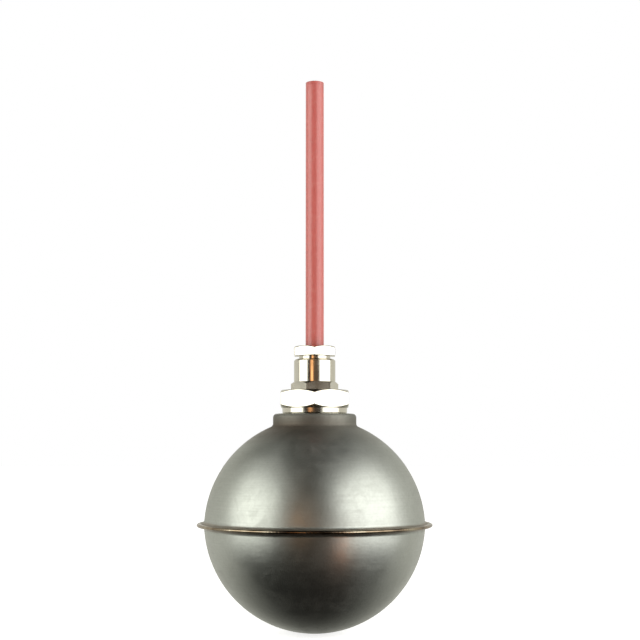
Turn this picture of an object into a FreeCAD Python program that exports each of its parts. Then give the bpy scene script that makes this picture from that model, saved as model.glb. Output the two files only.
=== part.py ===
"""Float level switch: a welded steel ball float that hangs on its cable below a brass cable gland.

A steel ball rolls in a cartridge inside the float. While the float hangs, the ball lies at the
cartridge's lower end. When rising liquid turns the float over, the ball rolls to the gland's end and
presses the lever of a small snap switch.

Sizes are millimetres. Z runs up the cable, and z = 0 is where the cable leaves the gland.
"""
import math
import os

import FreeCAD
import Part

# ---- Driving dimensions ----------------------------------------------------------------------

# Running and seating clearances
thread_play = 0.05          # radial, between the plain cylinders that stand for fine threads
seal_play = 0.02            # radial, between the squeezed seal and the cable
touch_gap = 0.05            # left between a moving piece and what it comes to rest against
pin_play = 0.05             # radial, at the plunger's hole and at the lever's eye

# Cable
cable_diameter = 8.2
cable_free_length = 120.0
cable_squeeze = 0.15        # how much the gland draws the jacket in, on the radius
cable_shoulder = 0.6        # length over which the jacket is drawn in
cable_play = 0.2            # radial, in every hole that the cable passes
core_diameter = 2.3
core_play = 0.03            # between neighbouring cores, and between cores and jacket
conductor_diameter = 1.0
jacket_tail = 3.5           # jacket left below the floor of the adaptor's counterbore
core_lead = 0.7             # straight stretch of each core before and after it fans out
core_fan_drop = 9.8         # height over which the cores spread to the terminals
conductor_tip = 1.0         # bare end of each core

# Gland: pressure screw, seal and body
screw_head_height = 4.3
screw_head_margin = 2.0     # from the screw's thread out to the flats of its head
screw_neck = 1.5            # thread left in sight between head and body
screw_engagement = 5.0
screw_mouth = 0.5           # chamfer of the cable's exit
washer_thickness = 0.8
seal_length = 7.1
seal_wall = 3.03
body_wall = 2.2
body_length = 10.1
body_shoulder = 0.7         # chamfer round the body's top
body_hex_margin = 0.05      # from the body's cylinder out to the flats of its hexagon
body_hex_height = 3.7
body_hex_turn = -20.0       # degrees, how the body came to rest when it was tightened
spigot_wall = 3.3
spigot_length = 6.5
spigot_relief = 0.5         # depth left under the spigot

# Hexagon adaptor
adaptor_hex_height = 8.0
hex_chamfer_angle = 30.0
hex_land = 0.3              # how far inside the flats a hexagon's chamfer starts
collar_height = 2.5
collar_taper = 0.4
collar_inset = 0.5          # from the hexagon's flats in to the collar
collar_lip = 0.5            # rim of the collar outside the gasket
stub_wall = 2.5
stub_length = 10.0
stub_chamfer = 0.8
counterbore_depth = 6.0     # thread for the cartridge
gasket_width = 1.25
gasket_thickness = 0.6
gasket_play = 0.3           # radial, round the stub

# Float
shell_wall = 0.8
ball_radius = 49.0          # outside radius of both pressed dishes
dish_shortfall = 1.6        # how far each dish stops short of half a ball
flare_bend = 1.6            # outside radius where a dish turns out into its flange
flange_land = 0.7           # flat of the flange outside the flare
bead_overlap = 0.65         # how far the weld bead runs in over the flange
bead_crown = 1.05           # how far it stands out past the flange's edge
boss_rise = 1.8             # boss top above the crown of the dish
boss_land = 2.7             # flat left round the collar
boss_edge_bend = 1.0        # inside radius of the boss's top edge
boss_foot_bend = 1.6        # outside radius where the boss meets the dish
bush_height = 8.0
bush_margin = 1.8           # from the boss's rounded edge in to the bush

# Cartridge
rolling_ball_diameter = 15.875
rolling_ball_play = 0.5625  # radial, in the tube
rolling_ball_travel = 18.0
tube_wall = 0.95
cap_flange_height = 2.1
cap_spigot_height = 5.5
cap_floor = 2.0
seat_angle = 45.0           # of the cap's conical seat, to the axis
seat_flat_radius = 2.2
carrier_disc_height = 1.5
carrier_play = 0.1          # radial, between carrier and tube

# Snap switch
switch_length = 12.8
switch_width = 6.5
switch_height = 8.0
switch_wall = 0.7
switch_floor = 0.8          # wall on the plunger's side and on the terminals' side
switch_back = 0.8
cover_thickness = 1.0
strip_thickness = 0.4
strip_width = 2.4
lug_length = 3.5
contact_diameter = 1.2
contact_height = 0.3
rivet_diameter = 0.6
contact_gap = 0.6
contact_inset = 0.3         # from the closed terminal's strip to the edge of its contact
blade_thickness = 0.15
blade_width = 2.0
blade_eye_diameter = 0.4    # rolled end that the blade turns on
blade_foot = 0.9            # length of the common terminal's foot under the blade
plunger_diameter = 1.5
plunger_head_diameter = 1.9
plunger_head_height = 0.6
plunger_nub_diameter = 0.8
plunger_arm = 3.0           # from the lever's pin to the plunger
pin_drop = 1.0              # lever's pin below the switch's face
pin_diameter = 0.8
ear_radius = 0.8
ear_thickness = 0.8
lever_thickness = 0.3
lever_side_gap = 0.1
lever_tip_gap = 1.9         # from the lever's tip to the tube's bore
lever_free_droop = 11.75    # degrees below level, at rest
lever_pressed_droop = 3.0   # degrees below level, with the ball against it
eye_wrap = 290.0            # degrees of the lever's rolled eye
screw_diameter = 1.9
screw_hole_play = 0.05
screw_boss_wall = 0.6
screw_grip = 3.5            # depth of thread in the carrier
switch_screw_head_diameter = 3.6
switch_screw_head_height = 1.2
switch_screw_slot = 0.5
screw_row_depth = 2.2       # screws below the terminals' face

# ---- Sizes that follow -----------------------------------------------------------------------

cable_radius = cable_diameter / 2
gripped_radius = cable_radius - cable_squeeze
cable_hole_radius = cable_radius + cable_play
core_radius = core_diameter / 2
core_circle = (core_radius + core_play / 2) / math.cos(math.radians(30))
jacket_bore_radius = core_circle + core_radius + core_play

seal_outer_radius = gripped_radius + seal_play + seal_wall
screw_radius = seal_outer_radius
body_bore_radius = screw_radius + thread_play
body_bore_depth = screw_engagement + 2 * washer_thickness + seal_length
body_radius = body_bore_radius + body_wall
body_hex_flat = body_radius + body_hex_margin
screw_head_flat = screw_radius + screw_head_margin
spigot_radius = cable_hole_radius + spigot_wall

rolling_ball_radius = rolling_ball_diameter / 2
tube_bore_radius = rolling_ball_radius + rolling_ball_play
tube_radius = tube_bore_radius + tube_wall
counterbore_radius = tube_radius + thread_play
stub_radius = counterbore_radius + stub_wall
gasket_inner_radius = stub_radius + gasket_play
gasket_outer_radius = gasket_inner_radius + gasket_width
gasket_recess_radius = gasket_outer_radius + thread_play
collar_foot_radius = gasket_recess_radius + collar_lip
collar_radius = collar_foot_radius + collar_taper
adaptor_flat = collar_radius + collar_inset
boss_edge_outer = boss_edge_bend + shell_wall
boss_flat_radius = collar_foot_radius + boss_land
boss_radius = boss_flat_radius + boss_edge_outer
bush_radius = boss_flat_radius - bush_margin
flare_drop = dish_shortfall + shell_wall + flare_bend
flare_radius = math.sqrt((ball_radius + flare_bend) ** 2 - flare_drop ** 2)
flange_radius = flare_radius + flange_land

# Levels, from the cable's exit downwards
z_exit = 0.0
z_screw_head_foot = z_exit - screw_head_height
z_body_top = z_screw_head_foot - screw_neck
z_body_hex_top = z_body_top - body_length
z_adaptor_top = z_body_hex_top - body_hex_height
z_collar_top = z_adaptor_top - adaptor_hex_height
z_boss_top = z_collar_top - collar_height
z_stub_end = z_boss_top - stub_length
z_counterbore_floor = z_stub_end + counterbore_depth
z_screw_end = z_body_top - screw_engagement
z_seal_top = z_screw_end - washer_thickness
z_seal_end = z_seal_top - seal_length
z_body_bore_floor = z_body_top - body_bore_depth
z_spigot_end = z_adaptor_top - spigot_length

z_upper_dish_centre = z_boss_top - boss_rise - ball_radius
z_seam = z_upper_dish_centre + dish_shortfall
z_bush_top = z_boss_top - shell_wall

z_tube_top = z_counterbore_floor - carrier_disc_height
z_jacket_end = z_counterbore_floor - jacket_tail
z_fan_top = z_jacket_end - core_lead
z_fan_end = z_fan_top - core_fan_drop
z_core_end = z_fan_end - core_lead
z_lug_top = z_core_end - conductor_tip
z_switch_top = z_lug_top - lug_length
z_switch_face = z_switch_top - switch_height
z_cavity_floor = z_switch_face + switch_floor
z_cavity_roof = z_switch_top - switch_floor

# Contact stack, from the cavity's floor upwards
z_closed_arm = z_cavity_floor + strip_thickness
z_blade_contact = z_closed_arm + contact_height + touch_gap
z_blade = z_blade_contact + contact_height
z_blade_top = z_blade + blade_thickness
z_blade_eye = z_blade + blade_thickness / 2
z_open_contact = z_blade_top + contact_height + contact_gap
z_open_arm = z_open_contact + contact_height

# Places along the switch
x_cavity = switch_length / 2 - switch_wall
x_strip = x_cavity - strip_thickness
x_terminal = x_cavity - strip_thickness / 2
x_contact = -(x_strip - contact_inset - contact_diameter / 2)
x_screw = (x_strip + strip_thickness / 2) / 2
x_pin = -(switch_length / 2 - ear_radius)
x_plunger = x_pin + plunger_arm
z_pin = z_switch_face - pin_drop
z_screw_row = z_switch_top - screw_row_depth
y_cover = switch_width / 2 - cover_thickness
y_ear = switch_width / 2 - cover_thickness - ear_thickness

# Lever, plunger and rolling ball
plunger_radius = plunger_diameter / 2
pin_radius = pin_diameter / 2
eye_bore_radius = pin_radius + pin_play
lever_face_offset = eye_bore_radius + lever_thickness
lever_length = -x_pin + tube_bore_radius - lever_tip_gap
lever_half_width = y_ear - lever_side_gap
free_droop = math.radians(lever_free_droop)
pressed_droop = math.radians(lever_pressed_droop)
plunger_reach = lever_face_offset + plunger_radius + touch_gap
z_plunger_dome = z_pin + (plunger_reach - plunger_arm * math.sin(free_droop)) / math.cos(free_droop)
ball_reach = rolling_ball_radius + touch_gap - eye_bore_radius
z_ball_pressed = z_pin - (ball_reach - x_pin * math.sin(pressed_droop)) / math.cos(pressed_droop)
z_ball_rest = z_ball_pressed - rolling_ball_travel

# Cap: its conical seat stays clear of the ball at rest by the touch gap
seat_slope = math.tan(math.radians(seat_angle))
z_seat_apex = z_ball_rest - (rolling_ball_radius + touch_gap) / math.sin(math.radians(seat_angle))
z_seat_flat = z_seat_apex + seat_flat_radius / seat_slope
z_cap_end = z_seat_flat - cap_floor
z_tube_end = z_cap_end + cap_flange_height
z_cap_top = z_tube_end + cap_spigot_height
cap_spigot_radius = tube_bore_radius - thread_play
seat_mouth_radius = (z_cap_top - z_seat_apex) * seat_slope

axis_start = FreeCAD.Vector(0, 0, 0)
up = FreeCAD.Vector(0, 0, 1)
along_y = FreeCAD.Vector(0, 1, 0)


# ---- Forming operations ----------------------------------------------------------------------

def point(radius, z):
    """A point of a section in the XZ plane."""
    return FreeCAD.Vector(radius, 0, z)


def outline(points):
    """A closed wire through the points of a section."""
    return Part.makePolygon(points + points[:1])


def turned(points):
    """A piece turned on the lathe: its section swept round Z."""
    return Part.Face(outline(points)).revolve(axis_start, up, 360)


def sheet_section(edges, thickness):
    """The section of a sheet of even thickness that lies to one side of a smooth run of edges."""
    return Part.Wire(edges).makeOffset2D(thickness, 0, True, True, False)


def line(start, end):
    return Part.LineSegment(start, end).toShape()


def arc(centre, radius, start_angle, end_angle):
    """An arc in the XZ plane. Angles are in degrees from +X towards +Z."""
    places = []
    for angle in (start_angle, (start_angle + end_angle) / 2, end_angle):
        turn = math.radians(angle)
        places.append(centre + point(radius * math.cos(turn), radius * math.sin(turn)))
    return Part.Arc(*places).toShape()


def cylinder(radius, z_low, z_high):
    return Part.makeCylinder(radius, z_high - z_low, FreeCAD.Vector(0, 0, z_low), up)


def cross_cylinder(radius, x, z, y_low, y_high):
    """A round bar or hole along Y."""
    return Part.makeCylinder(radius, y_high - y_low, FreeCAD.Vector(x, y_low, z), along_y)


def block(x_low, x_high, y_low, y_high, z_low, z_high):
    corner = FreeCAD.Vector(x_low, y_low, z_low)
    return Part.makeBox(x_high - x_low, y_high - y_low, z_high - z_low, corner)


def hexagon_bar(flat_radius, z_low, z_high, turn, chamfer_low, chamfer_high):
    """A hexagon whose corners are chamfered on the lathe. At turn 0, corners face +Y and -Y."""
    corner_radius = flat_radius / math.cos(math.radians(30))
    corners = []
    for step in range(6):
        angle = math.radians(turn + 30 + 60 * step)
        place = FreeCAD.Vector(corner_radius * math.cos(angle), corner_radius * math.sin(angle), z_low)
        corners.append(place)
    bar = Part.Face(outline(corners)).extrude(up * (z_high - z_low))
    land_radius = flat_radius - hex_land
    fall = (corner_radius - land_radius) * math.tan(math.radians(hex_chamfer_angle))
    low_radius = land_radius if chamfer_low else corner_radius
    low_fall = fall if chamfer_low else 0
    high_radius = land_radius if chamfer_high else corner_radius
    high_fall = fall if chamfer_high else 0
    envelope = [point(0, z_low), point(low_radius, z_low)]
    if low_fall:
        envelope.append(point(corner_radius, z_low + low_fall))
    if high_fall:
        envelope.append(point(corner_radius, z_high - high_fall))
    envelope += [point(high_radius, z_high), point(0, z_high)]
    return bar.common(turned(envelope))


# ---- Float: two pressed dishes, weld bead and bush -------------------------------------------

def dish_flare(z_centre, z_flange, side):
    """Where a dish's outside turns into its flange. Side is +1 for the upper dish, -1 for the lower.

    Returns the flare's centre, its tangent point on the dish and its tangent point on the flange.
    """
    flare_centre = point(flare_radius, z_flange + side * flare_bend)
    dish_centre = point(0, z_centre)
    on_dish = dish_centre + (flare_centre - dish_centre) * (ball_radius / (ball_radius + flare_bend))
    on_flange = point(flare_centre.x, z_flange)
    return flare_centre, on_dish, on_flange


def angle_from(centre, place):
    return math.degrees(math.atan2(place.z - centre.z, place.x - centre.x))


def upper_shell():
    """Upper dish, drawn with a raised boss for the gland. Its outline runs over the outside."""
    z_flange = z_seam + shell_wall
    dish_centre = point(0, z_upper_dish_centre)
    flare_centre, flare_on_dish, flare_on_flange = dish_flare(z_upper_dish_centre, z_flange, 1)
    foot_x = boss_radius + boss_foot_bend
    foot_reach = ball_radius + boss_foot_bend
    foot_centre = point(foot_x, z_upper_dish_centre + math.sqrt(foot_reach ** 2 - foot_x ** 2))
    foot_on_dish = dish_centre + (foot_centre - dish_centre) * (ball_radius / foot_reach)
    edge_centre = point(boss_flat_radius, z_boss_top - boss_edge_outer)
    edges = [
        line(point(stub_radius + gasket_play, z_boss_top), point(boss_flat_radius, z_boss_top)),
        arc(edge_centre, boss_edge_outer, 90, 0),
        line(point(boss_radius, edge_centre.z), point(boss_radius, foot_centre.z)),
        arc(foot_centre, boss_foot_bend, 180, 360 + angle_from(foot_centre, foot_on_dish)),
        arc(dish_centre, ball_radius,
            angle_from(dish_centre, foot_on_dish), angle_from(dish_centre, flare_on_dish)),
        arc(flare_centre, flare_bend, 360 + angle_from(flare_centre, flare_on_dish), 270),
        line(flare_on_flange, point(flange_radius, z_flange)),
    ]
    return sheet_section(edges, -shell_wall).revolve(axis_start, up, 360)


def lower_shell():
    """Lower dish, plain, drawn to the same radius."""
    z_flange = z_seam - shell_wall
    z_centre = z_seam + dish_shortfall
    dish_centre = point(0, z_centre)
    flare_centre, flare_on_dish, flare_on_flange = dish_flare(z_centre, z_flange, -1)
    edges = [
        arc(dish_centre, ball_radius, -90, angle_from(dish_centre, flare_on_dish)),
        arc(flare_centre, flare_bend, angle_from(flare_centre, flare_on_dish), 90),
        line(flare_on_flange, point(flange_radius, z_flange)),
    ]
    return sheet_section(edges, shell_wall).revolve(axis_start, up, 360)


def rim_weld():
    """Weld bead that closes the two flanges round their edge."""
    start = point(flange_radius - bead_overlap, z_seam + shell_wall)
    end = point(flange_radius - bead_overlap, z_seam - shell_wall)
    crest = point(flange_radius + bead_crown, z_seam)
    section = [
        Part.Arc(start, crest, end).toShape(),
        line(end, point(flange_radius, end.z)),
        line(point(flange_radius, end.z), point(flange_radius, start.z)),
        line(point(flange_radius, start.z), start),
    ]
    return Part.Face(Part.Wire(section)).revolve(axis_start, up, 360)


def boss_bush():
    """Threaded bush, welded under the boss, that takes the adaptor's stub."""
    ring = cylinder(bush_radius, z_bush_top - bush_height, z_bush_top)
    return ring.cut(cylinder(stub_radius + thread_play, z_bush_top - bush_height, z_bush_top))


# ---- Adaptor and gland -----------------------------------------------------------------------

def hex_adaptor():
    """Hexagon adaptor with its collar, its stub into the float and its threads for gland and cartridge."""
    head = hexagon_bar(adaptor_flat, z_collar_top, z_adaptor_top, 0, True, True)
    collar = turned([
        point(0, z_collar_top),
        point(collar_radius, z_collar_top),
        point(collar_foot_radius, z_boss_top),
        point(0, z_boss_top),
    ])
    stub = turned([
        point(0, z_boss_top),
        point(stub_radius, z_boss_top),
        point(stub_radius, z_stub_end + stub_chamfer),
        point(stub_radius - stub_chamfer, z_stub_end),
        point(0, z_stub_end),
    ])
    blank = head.fuse([collar, stub]).removeSplitter()
    recess = cylinder(gasket_recess_radius, z_boss_top, z_boss_top + gasket_thickness)
    recess = recess.cut(cylinder(stub_radius, z_boss_top, z_boss_top + gasket_thickness))
    entry_radius = spigot_radius + thread_play
    entry = cylinder(entry_radius, z_spigot_end - spigot_relief, z_adaptor_top)
    cable_hole = cylinder(cable_hole_radius, z_stub_end, z_adaptor_top)
    counterbore = cylinder(counterbore_radius, z_stub_end, z_counterbore_floor)
    return blank.cut([recess, entry, cable_hole, counterbore])


def collar_gasket():
    """Flat gasket in the recess under the collar, pressed on the boss."""
    ring = cylinder(gasket_outer_radius, z_boss_top, z_boss_top + gasket_thickness)
    return ring.cut(cylinder(gasket_inner_radius, z_boss_top, z_boss_top + gasket_thickness))


def gland_body():
    """Gland body: hexagon, plain cylinder and the spigot that screws into the adaptor."""
    hexagon = hexagon_bar(body_hex_flat, z_adaptor_top, z_body_hex_top, body_hex_turn, False, True)
    barrel = turned([
        point(0, z_body_hex_top),
        point(body_radius, z_body_hex_top),
        point(body_radius, z_body_top - body_shoulder),
        point(body_radius - body_shoulder, z_body_top),
        point(0, z_body_top),
    ])
    blank = hexagon.fuse([barrel, cylinder(spigot_radius, z_spigot_end, z_adaptor_top)])
    bore = cylinder(body_bore_radius, z_body_bore_floor, z_body_top)
    cable_hole = cylinder(cable_hole_radius, z_spigot_end, z_body_top)
    return blank.removeSplitter().cut([bore, cable_hole])


def pressure_screw():
    """Screw that squeezes the seal: a low hexagon head on a plain-looking threaded shank."""
    head = hexagon_bar(screw_head_flat, z_screw_head_foot, z_exit, 0, False, True)
    shank = cylinder(screw_radius, z_screw_end, z_screw_head_foot)
    cable_hole = turned([
        point(0, z_screw_end),
        point(cable_hole_radius, z_screw_end),
        point(cable_hole_radius, z_exit - screw_mouth),
        point(cable_hole_radius + screw_mouth, z_exit),
        point(0, z_exit),
    ])
    return head.fuse(shank).removeSplitter().cut(cable_hole)


def gland_ring(outer_radius, inner_radius, z_low, z_high):
    """A washer or seal round the cable."""
    return cylinder(outer_radius, z_low, z_high).cut(cylinder(inner_radius, z_low, z_high))


def upper_thrust_washer():
    return gland_ring(screw_radius, cable_hole_radius, z_seal_top, z_screw_end)


def seal_ring():
    """Rubber ring, squeezed round the cable between the two washers."""
    return gland_ring(seal_outer_radius, gripped_radius + seal_play, z_seal_end, z_seal_top)


def lower_thrust_washer():
    return gland_ring(screw_radius, cable_hole_radius, z_body_bore_floor, z_seal_end)


# ---- Cable -----------------------------------------------------------------------------------

def cable():
    """Jacket: one straight tube, drawn in where the gland grips it, cut square at its free end."""
    return turned([
        point(jacket_bore_radius, z_exit + cable_free_length),
        point(cable_radius, z_exit + cable_free_length),
        point(cable_radius, z_exit),
        point(gripped_radius, z_exit - cable_shoulder),
        point(gripped_radius, z_jacket_end),
        point(jacket_bore_radius, z_jacket_end),
    ])


def core(place_angle, x_end, name):
    """An insulated core: straight in the jacket, then two tangent arcs to its terminal."""
    turn = math.radians(place_angle)
    start = FreeCAD.Vector(core_circle * math.cos(turn), core_circle * math.sin(turn), z_fan_top)
    end = FreeCAD.Vector(x_end, 0, z_fan_end)
    across = FreeCAD.Vector(end.x - start.x, end.y - start.y, 0)
    offset = across.Length
    sideways = across / offset
    bend_radius = (core_fan_drop ** 2 + offset ** 2) / (4 * offset)
    half_turn = math.atan(offset / core_fan_drop)
    middle = (start + end) / 2
    half_way = sideways * (bend_radius * (1 - math.cos(half_turn)))
    half_way = half_way - up * (bend_radius * math.sin(half_turn))
    free_end = FreeCAD.Vector(start.x, start.y, z_exit + cable_free_length)
    core_end = FreeCAD.Vector(end.x, end.y, z_core_end)
    path = Part.Wire([
        line(free_end, start),
        Part.Arc(start, start + half_way, middle).toShape(),
        Part.Arc(middle, end - half_way, end).toShape(),
        line(end, core_end),
    ])
    section = Part.Wire(Part.makeCircle(core_radius, free_end, up))
    insulated = path.makePipeShell([section], True, False)
    tip = Part.makeCylinder(conductor_diameter / 2, conductor_tip, core_end - up * conductor_tip, up)
    length = path.Length
    print(f"{name}: bend radius {bend_radius:.2f} mm, length {length:.1f} mm")
    return insulated.fuse(tip)


# ---- Cartridge -------------------------------------------------------------------------------

def cartridge_tube():
    """Tube that the ball rolls in, screwed into the adaptor."""
    return cylinder(tube_radius, z_tube_end, z_tube_top).cut(cylinder(tube_bore_radius, z_tube_end, z_tube_top))


def cartridge_cap():
    """End cap with a conical seat, where the ball lies while the float hangs."""
    return turned([
        point(0, z_cap_end),
        point(tube_radius, z_cap_end),
        point(tube_radius, z_tube_end),
        point(cap_spigot_radius, z_tube_end),
        point(cap_spigot_radius, z_cap_top),
        point(seat_mouth_radius, z_cap_top),
        point(seat_flat_radius, z_seat_flat),
        point(0, z_seat_flat),
    ])


def rolling_ball():
    return Part.makeSphere(rolling_ball_radius, FreeCAD.Vector(0, 0, z_ball_rest))


def switch_carrier():
    """Moulded carrier: a disc clamped between tube and adaptor, and a spine that the switch is screwed to."""
    disc = cylinder(tube_radius, z_tube_top, z_counterbore_floor)
    rod = cylinder(tube_bore_radius - carrier_play, z_switch_face, z_tube_top)
    spine = rod.common(block(-tube_radius, tube_radius, switch_width / 2, tube_radius, z_switch_face, z_tube_top))
    blank = disc.fuse(spine).removeSplitter()
    cable_hole = cylinder(cable_hole_radius, z_fan_top, z_counterbore_floor)
    return blank.cut([cable_hole] + screw_holes(switch_width / 2, switch_width / 2 + screw_grip))


# ---- Snap switch -----------------------------------------------------------------------------

def screw_holes(y_low, y_high):
    """The two holes for the switch's screws."""
    hole_radius = screw_diameter / 2 + screw_hole_play
    return [cross_cylinder(hole_radius, side * x_screw, z_screw_row, y_low, y_high) for side in (-1, 1)]


def switch_base():
    """Moulded base: a tray open towards the cover, with screw bosses, slots and the lever's two ears."""
    half_length = switch_length / 2
    tray = block(-half_length, half_length, -y_cover, switch_width / 2, z_switch_face, z_switch_top)
    cavity = block(-x_cavity, x_cavity, -y_cover, switch_width / 2 - switch_back,
                   z_cavity_floor, z_cavity_roof)
    base = tray.cut(cavity)
    boss_wall_radius = screw_diameter / 2 + screw_hole_play + screw_boss_wall
    for side in (-1, 1):
        base = base.fuse(cross_cylinder(boss_wall_radius, side * x_screw, z_screw_row, -y_cover, y_cover))
        ear_low = min(side * y_ear, side * y_cover)
        ear_high = max(side * y_ear, side * y_cover)
        ear = cross_cylinder(ear_radius, x_pin, z_pin, ear_low, ear_high)
        web = block(x_pin - ear_radius, x_pin + ear_radius, ear_low, ear_high, z_pin, z_switch_face)
        base = base.fuse([ear, web])
    slots = [
        block(x - strip_thickness / 2, x + strip_thickness / 2, -strip_width / 2, strip_width / 2,
              z_cavity_roof, z_switch_top)
        for x in (-x_terminal, 0, x_terminal)
    ]
    plunger_hole = Part.makeCylinder(plunger_radius + pin_play, switch_floor,
                                     FreeCAD.Vector(x_plunger, 0, z_switch_face), up)
    pin_hole = cross_cylinder(pin_radius, x_pin, z_pin, -y_cover, y_cover)
    holes = screw_holes(-y_cover, switch_width / 2)
    return base.removeSplitter().cut(slots + [plunger_hole, pin_hole] + holes)


def switch_cover():
    """Flat cover over the open side of the base."""
    half_length = switch_length / 2
    plate = block(-half_length, half_length, -switch_width / 2, -y_cover, z_switch_face, z_switch_top)
    return plate.cut(screw_holes(-switch_width / 2, -y_cover))


def strip_solid(places):
    """A terminal stamped from strip: its side outline, extruded over the strip's width."""
    corners = [FreeCAD.Vector(x, -strip_width / 2, z) for x, z in places]
    return Part.Face(outline(corners)).extrude(along_y * strip_width)


def rivet_hole(z_low):
    """Hole for a contact's rivet through a strip that lies flat."""
    return Part.makeCylinder(rivet_diameter / 2, strip_thickness, FreeCAD.Vector(x_contact, 0, z_low), up)


def terminal_common():
    """Common terminal: a lug, a post with a round notch for the blade's eye, and a foot under the blade."""
    z_foot_top = z_blade - touch_gap
    z_foot = z_foot_top - strip_thickness
    strip = strip_solid([
        (x_strip, z_lug_top),
        (x_cavity, z_lug_top),
        (x_cavity, z_foot),
        (x_strip - blade_foot, z_foot),
        (x_strip - blade_foot, z_foot_top),
        (x_strip, z_foot_top),
    ])
    notch_radius = blade_eye_diameter / 2 + touch_gap
    return strip.cut(cross_cylinder(notch_radius, x_strip, z_blade_eye, -strip_width / 2, strip_width / 2))


def terminal_open():
    """Normally open terminal: a lug between the screw bosses and an arm over the blade's contact."""
    half = strip_thickness / 2
    x_arm_end = x_contact - contact_diameter / 2
    strip = strip_solid([
        (-half, z_lug_top),
        (half, z_lug_top),
        (half, z_open_arm),
        (x_arm_end, z_open_arm),
        (x_arm_end, z_open_arm + strip_thickness),
        (-half, z_open_arm + strip_thickness),
    ])
    return strip.cut(rivet_hole(z_open_arm))


def terminal_closed():
    """Normally closed terminal: a lug, a post and an arm on the cavity's floor."""
    x_arm_end = x_contact + contact_diameter / 2
    strip = strip_solid([
        (-x_cavity, z_lug_top),
        (-x_strip, z_lug_top),
        (-x_strip, z_closed_arm),
        (x_arm_end, z_closed_arm),
        (x_arm_end, z_cavity_floor),
        (-x_cavity, z_cavity_floor),
    ])
    return strip.cut(rivet_hole(z_cavity_floor))


def contact_rivet(z_face, side, depth):
    """A contact's head on the face at z_face, on the given side of it, with its shank through the sheet."""
    z_head = min(z_face, z_face + side * contact_height)
    z_shank = min(z_face, z_face - side * depth)
    head = Part.makeCylinder(contact_diameter / 2, contact_height, FreeCAD.Vector(x_contact, 0, z_head), up)
    shank = Part.makeCylinder(rivet_diameter / 2, depth, FreeCAD.Vector(x_contact, 0, z_shank), up)
    return head.fuse(shank)


def fixed_contacts():
    """The two fixed silver contacts, one on each arm."""
    return Part.makeCompound([
        contact_rivet(z_closed_arm, 1, strip_thickness),
        contact_rivet(z_open_arm, -1, strip_thickness),
    ])


def moving_contact():
    """Silver contact with a head on both sides of the blade."""
    upper_head = Part.makeCylinder(contact_diameter / 2, contact_height,
                                   FreeCAD.Vector(x_contact, 0, z_blade_top), up)
    return contact_rivet(z_blade, -1, blade_thickness).fuse(upper_head)


def contact_blade():
    """Spring blade that carries the moving contact. Its rolled end turns in the common terminal's notch."""
    blade = block(x_contact - contact_diameter / 2, x_strip,
                  -blade_width / 2, blade_width / 2, z_blade, z_blade_top)
    eye = cross_cylinder(blade_eye_diameter / 2, x_strip, z_blade_eye, -blade_width / 2, blade_width / 2)
    hole = Part.makeCylinder(rivet_diameter / 2, blade_thickness, FreeCAD.Vector(x_contact, 0, z_blade), up)
    return blade.fuse(eye).cut(hole)


def switch_plunger():
    """Plunger: a nub under the blade, a head that keeps it in the base, and a domed stem."""
    z_head = z_cavity_floor + touch_gap
    z_nub = z_head + plunger_head_height
    z_nub_top = z_blade - touch_gap
    foot = FreeCAD.Vector(x_plunger, 0, z_plunger_dome)
    stem = Part.makeCylinder(plunger_radius, z_head - z_plunger_dome, foot, up)
    head = Part.makeCylinder(plunger_head_diameter / 2, plunger_head_height,
                             FreeCAD.Vector(x_plunger, 0, z_head), up)
    nub = Part.makeCylinder(plunger_nub_diameter / 2, z_nub_top - z_nub, FreeCAD.Vector(x_plunger, 0, z_nub), up)
    return stem.fuse([Part.makeSphere(plunger_radius, foot), head, nub]).removeSplitter()


def switch_lever():
    """Sheet lever with a rolled eye, hanging at its free angle."""
    mid_radius = eye_bore_radius
    edges = [
        arc(axis_start, mid_radius, 90 + eye_wrap, 90),
        line(point(0, mid_radius), point(lever_length, mid_radius)),
    ]
    section = sheet_section(edges, lever_thickness)
    lever = section.extrude(along_y * (2 * lever_half_width))
    lever.translate(along_y * -lever_half_width)
    lever.rotate(axis_start, along_y, lever_free_droop)
    lever.translate(point(x_pin, z_pin))
    return lever


def lever_pin():
    return cross_cylinder(pin_radius, x_pin, z_pin, -y_cover, y_cover)


def switch_screws():
    """Two slotted screws through cover and base into the carrier."""
    y_head = -switch_width / 2
    y_end = switch_width / 2 + screw_grip
    head_radius = switch_screw_head_diameter / 2
    screws = []
    for side in (-1, 1):
        shank = cross_cylinder(screw_diameter / 2, side * x_screw, z_screw_row, y_head, y_end)
        head = cross_cylinder(head_radius, side * x_screw, z_screw_row,
                              y_head - switch_screw_head_height, y_head)
        slot = block(side * x_screw - switch_screw_slot / 2, side * x_screw + switch_screw_slot / 2,
                     y_head - switch_screw_head_height, y_head - switch_screw_head_height / 2,
                     z_screw_row - head_radius, z_screw_row + head_radius)
        screws.append(shank.fuse(head).cut(slot))
    return Part.makeCompound(screws)


# ---- Pieces ----------------------------------------------------------------------------------

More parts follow.
